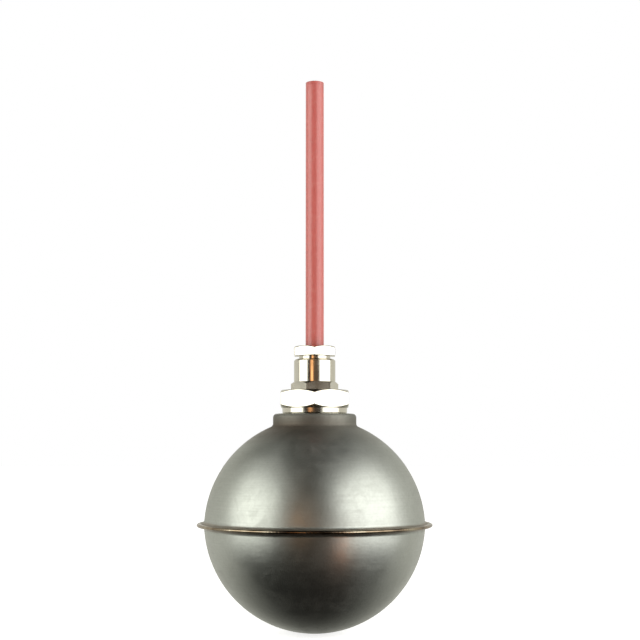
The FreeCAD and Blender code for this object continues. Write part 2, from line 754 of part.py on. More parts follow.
pieces = {
    "upper_shell": upper_shell(),
    "lower_shell": lower_shell(),
    "rim_weld": rim_weld(),
    "boss_bush": boss_bush(),
    "hex_adaptor": hex_adaptor(),
    "collar_gasket": collar_gasket(),
    "gland_body": gland_body(),
    "pressure_screw": pressure_screw(),
    "upper_thrust_washer": upper_thrust_washer(),
    "seal_ring": seal_ring(),
    "lower_thrust_washer": lower_thrust_washer(),
    "cable": cable(),
    "core_common": core(330, x_terminal, "core_common"),
    "core_open": core(90, 0, "core_open"),
    "core_closed": core(210, -x_terminal, "core_closed"),
    "cartridge_tube": cartridge_tube(),
    "cartridge_cap": cartridge_cap(),
    "rolling_ball": rolling_ball(),
    "switch_carrier": switch_carrier(),
    "switch_base": switch_base(),
    "switch_cover": switch_cover(),
    "terminal_common": terminal_common(),
    "terminal_open": terminal_open(),
    "terminal_closed": terminal_closed(),
    "fixed_contacts": fixed_contacts(),
    "contact_blade": contact_blade(),
    "moving_contact": moving_contact(),
    "switch_plunger": switch_plunger(),
    "switch_lever": switch_lever(),
    "lever_pin": lever_pin(),
    "switch_screws": switch_screws(),
}

os.makedirs("parts", exist_ok=True)
for name, shape in pieces.items():
    shape.exportStep(f"parts/{name}.step")
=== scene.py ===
import math
import random

import bmesh
import bpy
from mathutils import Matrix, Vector


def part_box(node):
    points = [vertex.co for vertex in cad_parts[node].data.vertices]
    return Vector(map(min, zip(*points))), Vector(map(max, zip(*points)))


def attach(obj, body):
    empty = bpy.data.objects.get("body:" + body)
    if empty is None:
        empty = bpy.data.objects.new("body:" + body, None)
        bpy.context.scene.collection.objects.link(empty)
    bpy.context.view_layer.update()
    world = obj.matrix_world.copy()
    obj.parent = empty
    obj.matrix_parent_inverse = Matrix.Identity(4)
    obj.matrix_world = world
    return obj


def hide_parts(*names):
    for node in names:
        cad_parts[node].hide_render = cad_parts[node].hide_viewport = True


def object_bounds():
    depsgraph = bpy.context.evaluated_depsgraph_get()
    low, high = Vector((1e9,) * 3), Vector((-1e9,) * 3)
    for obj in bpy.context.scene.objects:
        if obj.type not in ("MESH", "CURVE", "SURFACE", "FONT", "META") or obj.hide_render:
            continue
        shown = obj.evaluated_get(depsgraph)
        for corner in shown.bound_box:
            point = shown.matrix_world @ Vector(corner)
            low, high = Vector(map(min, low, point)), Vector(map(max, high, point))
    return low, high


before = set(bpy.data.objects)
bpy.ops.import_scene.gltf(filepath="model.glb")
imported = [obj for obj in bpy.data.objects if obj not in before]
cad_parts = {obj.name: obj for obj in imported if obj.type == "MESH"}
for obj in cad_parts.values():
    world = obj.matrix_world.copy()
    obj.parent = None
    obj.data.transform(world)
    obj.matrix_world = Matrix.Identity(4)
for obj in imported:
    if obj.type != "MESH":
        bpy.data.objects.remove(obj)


# ---- Float: two pressed dishes ---------------------------------------------------------------
# Two stainless dishes, pressed from 0.8 mm sheet and brushed on the lathe, so that fine rings
# run round the upright axis. Their flanges are welded together at the widest place, and the
# upper dish has a raised boss for the gland.

MM = 0.001
cad_box = [list(corner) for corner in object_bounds()]
SEAM_Z = sum(corner.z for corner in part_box("rim_weld")) / 2
BALL_RADIUS = 49.0 * MM
BRUSH_PITCH = 0.6 * MM          # real brush lines are 0.1 to 0.2 mm apart, too fine to show
BRUSH_LENGTH = 22 * MM
CLOUD_SIZE = 26 * MM            # soft patches left by pressing and handling
SMUDGE_SIZE = 8 * MM            # greasy finger marks
GRIT_SIZE = 1.1 * MM            # orange peel of drawn sheet, too fine to show at its real size
TINT_START = 0.9 * MM           # the weld's heat has coloured the sheet fully up to here
TINT_WIDTH = 1.9 * MM           # and not at all from here
BOSS_FOOT_Z = -35.0 * MM        # above this the sheet is left dull from deep drawing
DULL_FADE = 3.5 * MM            # height below it over which the dullness fades out
BOSS_TOP_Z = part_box("upper_shell")[1].z
RUBBED_WIDTH = 0.5 * MM         # of the boss's top edge, rubbed bright when it was faced
BROWN_RING_Z = -37.0 * MM            # middle of the darker brown ring round the boss's foot
BROWN_RING_WIDTH = 9.0 * MM          # from its middle to where it ends
BROWN_RING_FAINT_X = 14 * MM         # the ring is fainter from here towards +X
BROWN_RING_FULL_X = -8 * MM          # and full from here towards -X


def linear(code):
    """A colour given as sRGB hex, as the linear colour that a shader takes."""
    channels = [int(code[i:i + 2], 16) / 255 for i in (1, 3, 5)]
    return [c / 12.92 if c <= 0.04045 else ((c + 0.055) / 1.055) ** 2.4 for c in channels] + [1]


def add(tree, kind, inputs=(), **settings):
    """Adds one node. Settings are its own properties; inputs are values, or sockets to link."""
    made = tree.nodes.new("ShaderNode" + kind)
    for name, value in settings.items():
        setattr(made, name, value)
    for name, value in dict(inputs).items():
        if isinstance(value, bpy.types.NodeSocket):
            tree.links.new(value, made.inputs[name])
        else:
            made.inputs[name].default_value = value
    return made


def surface(name, **values):
    """A new material with its shader's plain values set. Returns material, tree and shader."""
    made = bpy.data.materials.new(name)
    made.use_nodes = True
    shader = made.node_tree.nodes["Principled BSDF"]
    for socket, value in values.items():
        shader.inputs[socket.replace("_", " ")].default_value = value
    return made, made.node_tree, shader


def dress(material, *nodes):
    """Gives carried-over pieces their material."""
    for name in nodes:
        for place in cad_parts[name].material_slots:
            place.material = material


# AISI 304 sheet, spun and brushed: a soft grey with a slightly warm cast, whose highlights run
# up and down across the brush rings. Straw and brown colours lie next to the weld.
spun, tree, shader = surface("brushed stainless sheet", Metallic=1.0, Anisotropic=0.35)
place = add(tree, "TexCoord").outputs["Object"]
parts = add(tree, "SeparateXYZ", {0: place})
across = add(tree, "CombineXYZ", {0: parts.outputs[0], 1: parts.outputs[1], 2: 0.0})
reach = add(tree, "VectorMath", {0: across.outputs[0]}, operation="LENGTH")
height = add(tree, "Math", {0: parts.outputs[2], 1: SEAM_Z}, operation="SUBTRACT")
climb = add(tree, "Math", {0: height.outputs[0], 1: reach.outputs["Value"]}, operation="ARCTAN2")
round_place = add(tree, "VectorMath", {0: place, "Scale": 1 / BRUSH_LENGTH}, operation="SCALE")
ring = add(tree, "Math", {0: climb.outputs[0], 1: BALL_RADIUS / BRUSH_PITCH}, operation="MULTIPLY")
round_parts = add(tree, "SeparateXYZ", {0: round_place.outputs[0]})
brush_place = add(tree, "CombineXYZ",
                  {0: round_parts.outputs[0], 1: round_parts.outputs[1], 2: ring.outputs[0]})
brush = add(tree, "TexNoise", {"Vector": brush_place.outputs[0], "Scale": 1.0, "Detail": 3.0,
                               "Roughness": 0.6})
cloud = add(tree, "TexNoise", {"Vector": place, "Scale": 1 / CLOUD_SIZE, "Detail": 4.0,
                               "Roughness": 0.55, "Distortion": 0.4})
grit = add(tree, "TexNoise", {"Vector": place, "Scale": 1 / GRIT_SIZE, "Detail": 2.0})
rough_brush = add(tree, "MapRange", {0: brush.outputs[0], 1: 0.3, 2: 0.7, 3: 0.42, 4: 0.48})
rough_cloud = add(tree, "MapRange", {0: cloud.outputs[0], 1: 0.3, 2: 0.7, 3: -0.04, 4: 0.05})
drawn = add(tree, "MapRange", {0: parts.outputs[2], 1: BOSS_FOOT_Z - DULL_FADE,
                               2: BOSS_FOOT_Z, 3: 0.0, 4: 1.0}, interpolation_type="SMOOTHSTEP")
rubbed = add(tree, "MapRange", {0: parts.outputs[2], 1: BOSS_TOP_Z - RUBBED_WIDTH,
                                2: BOSS_TOP_Z - 0.4 * RUBBED_WIDTH, 3: 0.0, 4: 1.0})
drawn = add(tree, "Math", {0: drawn.outputs[0], 1: rubbed.outputs[0]}, operation="SUBTRACT")
# The lower dish was polished for longer, and handling has left smudges on both.
worked = add(tree, "MapRange", {0: height.outputs[0], 1: -1 * MM, 2: 1 * MM, 3: -0.09, 4: 0.0})
smudge = add(tree, "TexNoise", {"Vector": place, "Scale": 1 / SMUDGE_SIZE, "Detail": 6.0,
                                "Roughness": 0.7, "Distortion": 1.2})
greasy = add(tree, "MapRange", {0: smudge.outputs[0], 1: 0.48, 2: 0.7, 3: 0.0, 4: 0.07})
rough = add(tree, "Math", {0: rough_brush.outputs[0], 1: rough_cloud.outputs[0]})
rough = add(tree, "Math", {0: rough.outputs[0], 1: worked.outputs[0]})
rough = add(tree, "Math", {0: rough.outputs[0], 1: greasy.outputs[0]})
rough = add(tree, "Math", {0: drawn.outputs[0], 1: 0.22, 2: rough.outputs[0]},
            operation="MULTIPLY_ADD")
rough = add(tree, "Math", {0: rubbed.outputs[0], 1: -0.3, 2: rough.outputs[0]},
            operation="MULTIPLY_ADD")
tree.links.new(rough.outputs[0], shader.inputs["Roughness"])
tone = add(tree, "MapRange", {0: cloud.outputs[0], 1: 0.25, 2: 0.75, 3: 0.0, 4: 1.0})
steel = add(tree, "Mix", {0: tone.outputs[0], 6: linear("#b1b4ad"), 7: linear("#bfc2bc")},
            data_type="RGBA")
line = add(tree, "MapRange", {0: brush.outputs[0], 1: 0.25, 2: 0.75, 3: 0.0, 4: 0.14})
lined = add(tree, "Mix", {0: line.outputs[0], 6: steel.outputs[2], 7: linear("#94938a")},
            data_type="RGBA")
stained = add(tree, "Math", {0: greasy.outputs[0], 1: 1.3}, operation="MULTIPLY")
lined = add(tree, "Mix", {0: stained.outputs[0], 6: lined.outputs[2], 7: linear("#6f6e66")},
            data_type="RGBA")
gap = add(tree, "Math", {0: height.outputs[0]}, operation="ABSOLUTE")
wander = add(tree, "MapRange", {0: cloud.outputs[0], 1: 0.3, 2: 0.7, 3: 0.6, 4: 1.3})
reached = add(tree, "Math", {0: gap.outputs[0], 1: wander.outputs[0]}, operation="DIVIDE")
heat = add(tree, "MapRange", {0: reached.outputs[0], 1: TINT_START, 2: TINT_WIDTH, 3: 0.4, 4: 0.0},
           interpolation_type="SMOOTHSTEP")
tinted = add(tree, "Mix", {0: heat.outputs[0], 6: lined.outputs[2], 7: linear("#8d6a45")},
             data_type="RGBA")
dull = add(tree, "Math", {0: drawn.outputs[0], 1: 0.75}, operation="MULTIPLY")
dulled = add(tree, "Mix", {0: dull.outputs[0], 6: tinted.outputs[2], 7: linear("#84837b")},
             data_type="RGBA")
# A darker brown ring lies round the boss's foot, stronger on one side.
off = add(tree, "Math", {0: parts.outputs[2], 1: BROWN_RING_Z}, operation="SUBTRACT")
off = add(tree, "Math", {0: off.outputs[0]}, operation="ABSOLUTE")
brown_ring = add(tree, "MapRange", {0: off.outputs[0], 1: 0.0, 2: BROWN_RING_WIDTH, 3: 0.62, 4: 0.0},
            interpolation_type="SMOOTHSTEP")
sided = add(tree, "MapRange", {0: parts.outputs[0], 1: BROWN_RING_FAINT_X, 2: BROWN_RING_FULL_X,
                               3: 0.45, 4: 1.0})
brown_ring = add(tree, "Math", {0: brown_ring.outputs[0], 1: sided.outputs[0]}, operation="MULTIPLY")
dulled = add(tree, "Mix", {0: brown_ring.outputs[0], 6: dulled.outputs[2], 7: linear("#573f2a")},
             data_type="RGBA")
fleck = add(tree, "MapRange", {0: grit.outputs[0], 1: 0.35, 2: 0.7, 3: 0.0, 4: 0.09})
flecked = add(tree, "Mix", {0: fleck.outputs[0], 6: dulled.outputs[2], 7: linear("#65645e")},
              data_type="RGBA")
tree.links.new(flecked.outputs[2], shader.inputs["Base Color"])
bump_brush = add(tree, "Bump", {"Strength": 0.25, "Distance": 0.02 * MM,
                                "Height": brush.outputs[0]})
bump_grit = add(tree, "Bump", {"Strength": 0.9, "Distance": 0.03 * MM, "Height": grit.outputs[0],
                               "Normal": bump_brush.outputs[0]})
tree.links.new(bump_grit.outputs[0], shader.inputs["Normal"])
lay = add(tree, "Tangent", direction_type="RADIAL", axis="Z")
tree.links.new(lay.outputs[0], shader.inputs["Tangent"])
shader.inputs["Anisotropic Rotation"].default_value = 0.25
dress(spun, "upper_shell", "lower_shell")


# ---- Weld bead round the rim -----------------------------------------------------------------
# The two flanges are melted together round their edge by a torch, without filler, so the bead
# is a round crest with shallow overlapping ripples. It is the dishes' own stainless steel,
# coloured gold to brown by the heat.

FLANGE_RADIUS = 51.14 * MM
SHEET = 0.8 * MM
BEAD_INSET = 0.65 * MM
BEAD_CROWN = 1.05 * MM
BEAD_SWELL = 0.24 * MM          # fills the crest out beyond a plain ellipse
RIPPLE_PITCH = 1.5 * MM
RIPPLE_DEPTH = 0.07 * MM
RIPPLE_ARROW = 0.35             # how far a ripple trails at its edges, as a share of its pitch
RIPPLE_STEPS = 6                # faces along one ripple
BEAD_STEPS = 14                 # faces across the crest
BEAD_PATCH = 9 * MM             # the heat's colours change over about this length
SCALE_SIZE = 0.7 * MM           # specks of oxide


def shaded(mesh, angle=35.0):
    """Smooth shading, with edges sharper than the angle, in degrees, left sharp."""
    mesh.polygons.foreach_set("use_smooth", [True] * len(mesh.polygons))
    mesh.set_sharp_from_angle(angle=math.radians(angle))


def piece(name, points, faces, material, angle=35.0):
    """A mesh piece from its points and faces."""
    mesh = bpy.data.meshes.new(name)
    mesh.from_pydata(points, [], faces)
    build = bmesh.new()
    build.from_mesh(mesh)
    bmesh.ops.recalc_face_normals(build, faces=build.faces)
    build.to_mesh(mesh)
    build.free()
    shaded(mesh, angle)
    mesh.materials.append(material)
    made = bpy.data.objects.new(name, mesh)
    bpy.context.scene.collection.objects.link(made)
    return made


# Melted and frozen stainless steel: smooth and glossy, straw, bronze and dark brown in turn.
bead_tint, tree, shader = surface("heat tinted weld steel", Metallic=1.0)
place = add(tree, "TexCoord").outputs["Object"]
patch = add(tree, "TexNoise", {"Vector": place, "Scale": 1 / BEAD_PATCH, "Detail": 3.0})
scale_mark = add(tree, "TexNoise", {"Vector": place, "Scale": 1 / SCALE_SIZE, "Detail": 2.0})
tint = add(tree, "ValToRGB", {0: patch.outputs[0]})
tint.color_ramp.elements[0].position, tint.color_ramp.elements[0].color = 0.32, linear("#54473a")
tint.color_ramp.elements[1].position, tint.color_ramp.elements[1].color = 0.70, linear("#b3a893")
straw = tint.color_ramp.elements.new(0.5)
straw.color = linear("#8b7b66")
tree.links.new(tint.outputs[0], shader.inputs["Base Color"])
rough = add(tree, "MapRange", {0: scale_mark.outputs[0], 1: 0.3, 2: 0.7, 3: 0.12, 4: 0.24})
tree.links.new(rough.outputs[0], shader.inputs["Roughness"])
bump = add(tree, "Bump", {"Strength": 0.3, "Distance": 0.03 * MM, "Height": scale_mark.outputs[0]})
tree.links.new(bump.outputs[0], shader.inputs["Normal"])

ripples = round(2 * math.pi * FLANGE_RADIUS / RIPPLE_PITCH)
columns = ripples * RIPPLE_STEPS
draw = random.Random(7)
depths = [RIPPLE_DEPTH * draw.uniform(0.5, 1.0) for _ in range(ripples)]
points, faces = [], []
for column in range(columns):
    turn = 2 * math.pi * column / columns
    for row in range(BEAD_STEPS + 1):
        side = math.pi * (row / BEAD_STEPS - 0.5)
        along = column / RIPPLE_STEPS + RIPPLE_ARROW * math.sin(side) ** 2
        sink = depths[int(along) % ripples] * (along % 1) ** 2 * math.cos(side)
        out = (BEAD_INSET + BEAD_CROWN) * math.cos(side) - BEAD_INSET - sink
        radius = FLANGE_RADIUS + out
        points.append((radius * math.cos(turn), radius * math.sin(turn),
                       SEAM_Z + (SHEET + BEAD_SWELL * math.cos(side)) * math.sin(side)))
    following = (column + 1) % columns
    for row in range(BEAD_STEPS):
        a, b = column * (BEAD_STEPS + 1) + row, following * (BEAD_STEPS + 1) + row
        faces.append((a, b, b + 1, a + 1))
    a, b = column * (BEAD_STEPS + 1), following * (BEAD_STEPS + 1)
    faces.append((a + BEAD_STEPS, b + BEAD_STEPS, b, a))
bead = piece("weld_bead", points, faces, bead_tint, 60)
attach(bead, "float")
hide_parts("rim_weld")


# ---- Threaded bush ---------------------------------------------------------------------------
# A ring of stainless bar, turned and threaded, and welded under the boss. It takes the adaptor's
# stub.

# Turned stainless steel: a bright grey with close lathe rings.
bush_steel, tree, shader = surface("turned stainless steel", Metallic=1.0)
place = add(tree, "TexCoord").outputs["Object"]
spread = add(tree, "Mapping", {0: place, 3: (1 / (8 * MM), 1 / (8 * MM), 1 / (0.3 * MM))})
cut = add(tree, "TexNoise", {"Vector": spread.outputs[0], "Scale": 1.0, "Detail": 2.0})
rough = add(tree, "MapRange", {0: cut.outputs[0], 1: 0.3, 2: 0.7, 3: 0.22, 4: 0.34})
tone = add(tree, "Mix", {0: cut.outputs[0], 6: linear("#c9c7c0"), 7: linear("#b7b5ae")},
           data_type="RGBA")
bump = add(tree, "Bump", {"Strength": 0.3, "Distance": 0.02 * MM, "Height": cut.outputs[0]})
tree.links.new(rough.outputs[0], shader.inputs["Roughness"])
tree.links.new(tone.outputs[2], shader.inputs["Base Color"])
tree.links.new(bump.outputs[0], shader.inputs["Normal"])
dress(bush_steel, "boss_bush")


# ---- Cartridge: tube, cap and rolling ball ---------------------------------------------------
# A drawn aluminium tube hangs from the adaptor inside the float. A white polymer cap with a
# conical seat closes its lower end, and a loose bearing ball rolls in it when the float tips.


def grained(name, first, second, grain, rough, depth, metallic=0.0, ior=1.5):
    """A material whose colour, gloss and height follow one noise.

    Grain is its size along X, Y and Z, and depth its height, in mm. Rough is its least and most.
    """
    made, tree, shader = surface(name, Metallic=metallic, IOR=ior)
    place = add(tree, "TexCoord").outputs["Object"]
    spread = add(tree, "Mapping", {0: place, 3: [1 / (size * MM) for size in grain]})
    noise = add(tree, "TexNoise", {"Vector": spread.outputs[0], "Scale": 1.0, "Detail": 3.0})
    gloss = add(tree, "MapRange", {0: noise.outputs[0], 1: 0.3, 2: 0.7, 3: rough[0], 4: rough[1]})
    tone = add(tree, "Mix", {0: noise.outputs[0], 6: linear(first), 7: linear(second)},
               data_type="RGBA")
    bump = add(tree, "Bump", {"Strength": 0.4, "Distance": depth * MM, "Height": noise.outputs[0]})
    tree.links.new(gloss.outputs[0], shader.inputs["Roughness"])
    tree.links.new(tone.outputs[2], shader.inputs["Base Color"])
    tree.links.new(bump.outputs[0], shader.inputs["Normal"])
    return made


# Drawn aluminium: pale grey, with fine lines along the tube left by the die.
dress(grained("drawn aluminium", "#dcdddd", "#cfd0d1", grain=(0.4, 0.4, 25),
              rough=(0.24, 0.36), depth=0.01, metallic=1.0),
      "cartridge_tube")
# Turned acetal: a waxy white with faint lathe rings.
dress(grained("turned white acetal", "#eceae2", "#e2dfd5", grain=(6, 6, 0.25),
              rough=(0.36, 0.46), depth=0.01, ior=1.48),
      "cartridge_cap")
# Lapped chrome steel: a mirror with hardly a mark on it.
dress(grained("lapped bearing steel", "#d3d3d4", "#c9c9cb", grain=(2, 2, 2),
              rough=(0.04, 0.09), depth=0.002, metallic=1.0),
      "rolling_ball")


# ---- Microswitch on its carrier --------------------------------------------------------------
# A small snap switch sits in a white moulded carrier, held by two plated screws. Its case and
# cover are black, its terminals are stamped brass strip, and a bronze blade carries the moving
# contact between two fixed ones. The ball lifts a bent steel lever that presses a red button.

# Moulded glass-filled nylon: off-white, with a faint flow grain.
dress(grained("moulded white nylon", "#e8e5da", "#dedacd", grain=(0.6, 0.6, 3),
              rough=(0.42, 0.54), depth=0.01, ior=1.53),
      "switch_carrier")
# Moulded phenolic: near black, with a fine spark-eroded texture.
dress(grained("moulded black phenolic", "#1b1b1d", "#26262a", grain=(0.3, 0.3, 0.3),
              rough=(0.38, 0.5), depth=0.01, ior=1.55),
      "switch_base", "switch_cover")
# Stamped brass strip: yellow, with rolling lines along it.
dress(grained("rolled brass strip", "#d8bb78", "#c6a560", grain=(0.25, 0.25, 4),
              rough=(0.2, 0.32), depth=0.005, metallic=1.0),
      "terminal_common", "terminal_open", "terminal_closed")
# Silver contacts: white metal, a little tarnished.
dress(grained("contact silver", "#e9e7e1", "#cfcac0", grain=(0.3, 0.3, 0.3),
              rough=(0.16, 0.3), depth=0.004, metallic=1.0),
      "fixed_contacts", "moving_contact")
# Rolled spring bronze: red gold, with lines along the blade.
dress(grained("rolled spring bronze", "#c99763", "#b98553", grain=(4, 0.2, 0.2),
              rough=(0.2, 0.32), depth=0.004, metallic=1.0),
      "contact_blade")
# Moulded red acetal, with the gloss of a polished mould.
dress(grained("moulded red acetal", "#b3261c", "#a02018", grain=(0.5, 0.5, 0.5),
              rough=(0.25, 0.36), depth=0.004, ior=1.48),
      "switch_plunger")
# Cold rolled stainless strip: grey, with lines along the lever.
dress(grained("rolled stainless strip", "#c4c3bf", "#b3b2ae", grain=(5, 0.2, 0.2),
              rough=(0.24, 0.36), depth=0.004, metallic=1.0),
      "switch_lever", "lever_pin")
# Zinc plated steel: bluish white with a faint crystal bloom.
dress(grained("zinc plated steel", "#cfd3d6", "#bcc1c6", grain=(0.5, 0.5, 0.5),
              rough=(0.22, 0.38), depth=0.004, metallic=1.0),
      "switch_screws")


# ---- Hexagon adaptor, gland body and pressure screw ------------------------------------------
# Three brass pieces turned from hexagon bar, chamfered at the corners and nickel plated, which
# rounds every edge a little. The adaptor screws into the boss, the gland body into the adaptor,
# and the pressure screw into the body, where it squeezes the seal round the cable.

# Half widths across flats, radii, and levels below the pressure screw's top face, all in mm.
CABLE_HOLE, HOLE_CHAMFER = 4.3, 0.5
SCREW_FLAT, SCREW_FACE, SCREW_FOOT = 9.0, 8.7, -4.3
SHANK_RADIUS, SHANK_END = 7.0, -10.8
BODY_FLAT, BODY_FACE, BODY_HEX_TOP, BODY_FOOT = 9.3, 9.0, -15.9, -19.6
BODY_RADIUS, BODY_TOP, BODY_CHAMFER = 9.25, -5.8, 0.7
BODY_BORE, BODY_SHOULDER = 7.05, -19.5
SPIGOT_RADIUS, SPIGOT_END = 7.6, -26.1
BODY_TURN = -20.0               # degrees; the hexagons stopped where their threads were tight
ADAPTOR_FLAT, ADAPTOR_FACE, ADAPTOR_FOOT = 15.0, 14.7, -27.6
SPIGOT_BORE, SPIGOT_FLOOR = 7.65, -26.6
COLLAR_TOP, COLLAR_EDGE, COLLAR_FOOT, COLLAR_END, COLLAR_ROUND = 14.5, 14.4, 14.1, -30.1, 0.4
GASKET_INNER, GASKET_OUTER, GASKET_FLOOR = 12.3, 13.6, -29.5
STUB_RADIUS, STUB_END, STUB_CHAMFER = 12.0, -40.1, 0.8
STUB_BORE, STUB_FLOOR = 9.5, -34.1
HEX_FALL = math.tan(math.radians(30))       # slope of the lathe's chamfer over a hexagon's corners
EDGE_ROUND = 0.2                # what the plating leaves on an edge
TURN_STEPS = 192
EDGE_STEPS = 3
EDGE_ANGLE = 17                 # degrees; flatter edges than this aren't rounded
LATHE_PITCH = 0.35 * MM         # turning lines, drawn coarser, as the real ones wouldn't show
HAZE_SIZE = 6 * MM

# Bright nickel over polished brass: a warm white mirror, softened a little by the turning lines.
plate, tree, shader = surface("bright nickel plate", Metallic=1.0)
place = add(tree, "TexCoord").outputs["Object"]
spread = add(tree, "Mapping", {0: place, 3: (1 / (9 * MM), 1 / (9 * MM), 1 / LATHE_PITCH)})
turning = add(tree, "TexNoise", {"Vector": spread.outputs[0], "Scale": 1.0, "Detail": 2.0})
haze = add(tree, "TexNoise", {"Vector": place, "Scale": 1 / HAZE_SIZE, "Detail": 3.0})
rough = add(tree, "MapRange", {0: haze.outputs[0], 1: 0.3, 2: 0.75, 3: 0.14, 4: 0.24})
tree.links.new(rough.outputs[0], shader.inputs["Roughness"])
tone = add(tree, "Mix", {0: haze.outputs[0], 6: linear("#dedace"), 7: linear("#d3cdbe")},
           data_type="RGBA")
tree.links.new(tone.outputs[2], shader.inputs["Base Color"])
bump = add(tree, "Bump", {"Strength": 0.12, "Distance": 0.01 * MM, "Height": turning.outputs[0]})
tree.links.new(bump.outputs[0], shader.inputs["Normal"])


def swept(profile, steps):
    """Points and faces of a closed profile of (radius, height) swept round the axis."""
    points, faces = [], []
    count = len(profile)
    for step in range(steps):
        turn = 2 * math.pi * step / steps
        points += [(radius * math.cos(turn), radius * math.sin(turn), z) for radius, z in profile]
        following = (step + 1) % steps
        for row in range(count):
            after = (row + 1) % count
            faces.append((step * count + row, following * count + row,
                          following * count + after, step * count + after))
    return points, faces


def over_corners(flat):
    """Radius, in mm, a hair inside the corners of a hexagon of this half width across flats."""
    return round(flat / math.cos(math.radians(30)), 4)


def milled(name, profile, flat, turn=0.0):
    """A plated piece, turned to a profile of (radius, level) in mm, from hexagon bar."""
    blank = piece(name, *swept([(radius * MM, z * MM) for radius, z in profile], TURN_STEPS), plate)
    levels = [z for _, z in profile]
    reach = flat / math.cos(math.radians(30)) * MM
    spots = [math.radians(turn + 30 + 60 * i) for i in range(6)]
    points = [(reach * math.cos(a), reach * math.sin(a), z * MM)
              for z in (min(levels) - 3, max(levels) + 3) for a in spots]
    faces = [(i, (i + 1) % 6, 6 + (i + 1) % 6, 6 + i) for i in range(6)]
    bar = piece("bar", points, faces + [(5, 4, 3, 2, 1, 0), (6, 7, 8, 9, 10, 11)], plate)
    cut = blank.modifiers.new("bar", "BOOLEAN")
    cut.operation, cut.solver, cut.object = "INTERSECT", "EXACT", bar
    edge = blank.modifiers.new("edge", "BEVEL")
    edge.width, edge.segments, edge.limit_method = EDGE_ROUND * MM, EDGE_STEPS, "ANGLE"
    edge.angle_limit = math.radians(EDGE_ANGLE)
    # Flat faces stay flat in the reflections, and only the rounded edges turn.
    even = blank.modifiers.new("even", "WEIGHTED_NORMAL")
    even.keep_sharp = True
    ready = bpy.data.meshes.new_from_object(
        blank.evaluated_get(bpy.context.evaluated_depsgraph_get()))
    blank.modifiers.clear()
    blank.data = ready
    bpy.data.objects.remove(bar)
    return blank


adaptor_corner, body_corner, screw_corner = map(
    over_corners, (ADAPTOR_FLAT, BODY_FLAT, SCREW_FLAT))
adaptor_fall = (adaptor_corner - ADAPTOR_FACE) * HEX_FALL
adaptor = milled("hex_adaptor_plated", [
    (STUB_BORE, STUB_END), (STUB_RADIUS - STUB_CHAMFER, STUB_END),
    (STUB_RADIUS, STUB_END + STUB_CHAMFER), (STUB_RADIUS, COLLAR_END),
    (GASKET_INNER, COLLAR_END), (GASKET_INNER, GASKET_FLOOR), (GASKET_OUTER, GASKET_FLOOR),
    (GASKET_OUTER, COLLAR_END), (COLLAR_FOOT, COLLAR_END),
    (COLLAR_EDGE, COLLAR_END + COLLAR_ROUND), (COLLAR_TOP, ADAPTOR_FOOT),
    (ADAPTOR_FACE, ADAPTOR_FOOT), (adaptor_corner, ADAPTOR_FOOT + adaptor_fall),
    (adaptor_corner, BODY_FOOT - adaptor_fall), (ADAPTOR_FACE, BODY_FOOT),
    (SPIGOT_BORE, BODY_FOOT), (SPIGOT_BORE, SPIGOT_FLOOR), (CABLE_HOLE, SPIGOT_FLOOR),
    (CABLE_HOLE, STUB_FLOOR), (STUB_BORE, STUB_FLOOR),
], ADAPTOR_FLAT)
body = milled("gland_body_plated", [
    (CABLE_HOLE, SPIGOT_END), (SPIGOT_RADIUS, SPIGOT_END), (SPIGOT_RADIUS, BODY_FOOT),
    (body_corner, BODY_FOOT), (body_corner, BODY_HEX_TOP - (body_corner - BODY_FACE) * HEX_FALL),
    (BODY_RADIUS, BODY_HEX_TOP), (BODY_RADIUS, BODY_TOP - BODY_CHAMFER),
    (BODY_RADIUS - BODY_CHAMFER, BODY_TOP), (BODY_BORE, BODY_TOP), (BODY_BORE, BODY_SHOULDER),
    (CABLE_HOLE, BODY_SHOULDER),
], BODY_FLAT, BODY_TURN)
screw = milled("pressure_screw_plated", [
    (CABLE_HOLE, SHANK_END), (SHANK_RADIUS, SHANK_END), (SHANK_RADIUS, SCREW_FOOT),
    (screw_corner, SCREW_FOOT), (screw_corner, (SCREW_FACE - screw_corner) * HEX_FALL),
    (SCREW_FACE, 0.0), (CABLE_HOLE + HOLE_CHAMFER, 0.0), (CABLE_HOLE, -HOLE_CHAMFER),
], SCREW_FLAT)
for made, node in ((adaptor, "hex_adaptor"), (body, "gland_body"), (screw, "pressure_screw")):
    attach(made, "float")
    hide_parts(node)


# ---- Gasket, thrust washers and seal ---------------------------------------------------------
# A flat fibre gasket lies in the recess under the adaptor's collar. Inside the gland two stamped
# brass washers squeeze a black rubber ring round the cable.

# Pressed fibre sheet: chalky white with a felted surface.
dress(grained("pressed fibre sheet", "#e4e2da", "#d2cfc4", grain=(0.4, 0.4, 0.2),
              rough=(0.75, 0.9), depth=0.03),
      "collar_gasket")
# Stamped brass sheet, tumbled smooth.
dress(grained("tumbled brass", "#d2b474", "#bf9d58", grain=(0.6, 0.6, 0.6),
              rough=(0.26, 0.4), depth=0.006, metallic=1.0),
      "upper_thrust_washer", "lower_thrust_washer")
# Moulded nitrile rubber: soft black, with a talc bloom.
dress(grained("moulded nitrile rubber", "#191919", "#2c2b2a", grain=(0.8, 0.8, 0.8),
              rough=(0.55, 0.7), depth=0.02, ior=1.52),
      "seal_ring")


# ---- Cable -----------------------------------------------------------------------------------
# A round three-core cable with a silicone jacket, 8.2 mm thick, gripped by the gland's seal and
# cut square 120 mm above it. The jacket is extruded, so faint draw lines run along it, and its
# rubber has a satin, slightly dusty skin.

CABLE_RADIUS = 4.1 * MM
CABLE_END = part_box("cable")[1].z
CABLE_START = -6 * MM           # inside the gland, above the seal
JACKET_BORE = 2.525 * MM
CABLE_STEPS = 96
CABLE_RING = 6 * MM             # between the mesh's rings along the cable
CUT_ROUND = 0.12 * MM
CUT_SLOPE = 0.3 * CUT_ROUND
DRAW_LINE = 0.5 * MM            # draw lines, drawn coarser, as the real ones wouldn't show
DUST_SIZE = 1.6 * MM

